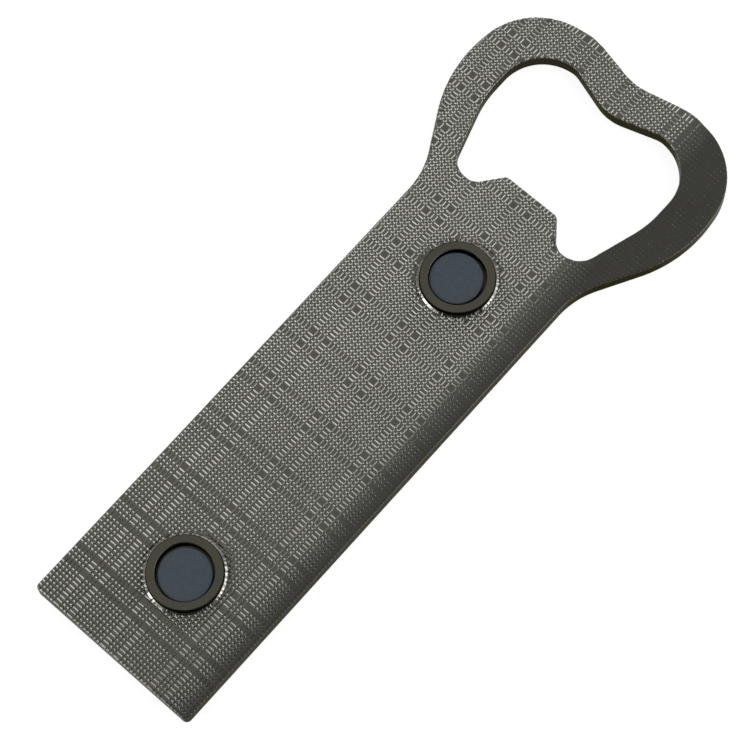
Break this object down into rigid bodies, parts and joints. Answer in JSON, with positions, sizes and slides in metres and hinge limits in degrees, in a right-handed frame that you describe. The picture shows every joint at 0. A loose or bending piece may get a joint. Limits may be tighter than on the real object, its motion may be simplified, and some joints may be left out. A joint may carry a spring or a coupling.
{
  "type": "bottle opener with fridge magnets",
  "caption": "Flat die-cast bottle opener with a heart-shaped head and lifting tooth, disc magnets in raised cups on its textured back, and an enamel picture on its front.",
  "frame": {"origin": "middle of the box around the opener, on the plane that its front lies on", "axes": "+X across the opener, whose outline is symmetric about X = 0; +Y along the handle towards the head; +Z out of the back, the side with the magnets"},
  "size_m": [0.0538, 0.1398, 0.0042],
  "materials": {
    "casting": "black-nickel plated zinc die casting, smooth on rims, rings and edges, fine grid relief on the back",
    "magnet": "matte blue-grey ferrite",
    "glue": "clear yellowish cured epoxy",
    "sea_blue": "glossy soft enamel",
    "wave_white": "glossy soft enamel",
    "near_hill_green": "glossy soft enamel",
    "far_hill_green": "glossy soft enamel",
    "sun_yellow": "glossy soft enamel",
    "glow_orange": "glossy soft enamel",
    "mid_sky_blue": "glossy soft enamel",
    "upper_sky_blue": "glossy soft enamel",
    "star_cream": "glossy soft enamel"
  },
  "bodies": {
    "root": {"body": "casting", "lower_magnet": "magnet", "upper_magnet": "magnet", "lower_magnet_glue": "glue", "upper_magnet_glue": "glue", "sea_enamel": "sea_blue", "wave_enamel": "wave_white", "near_hill_enamel": "near_hill_green", "far_hill_enamel": "far_hill_green", "sun_enamel": "sun_yellow", "glow_enamel": "glow_orange", "mid_sky_enamel": "mid_sky_blue", "upper_sky_enamel": "upper_sky_blue", "star_enamel": "star_cream"}
  },
  "joints": []
}
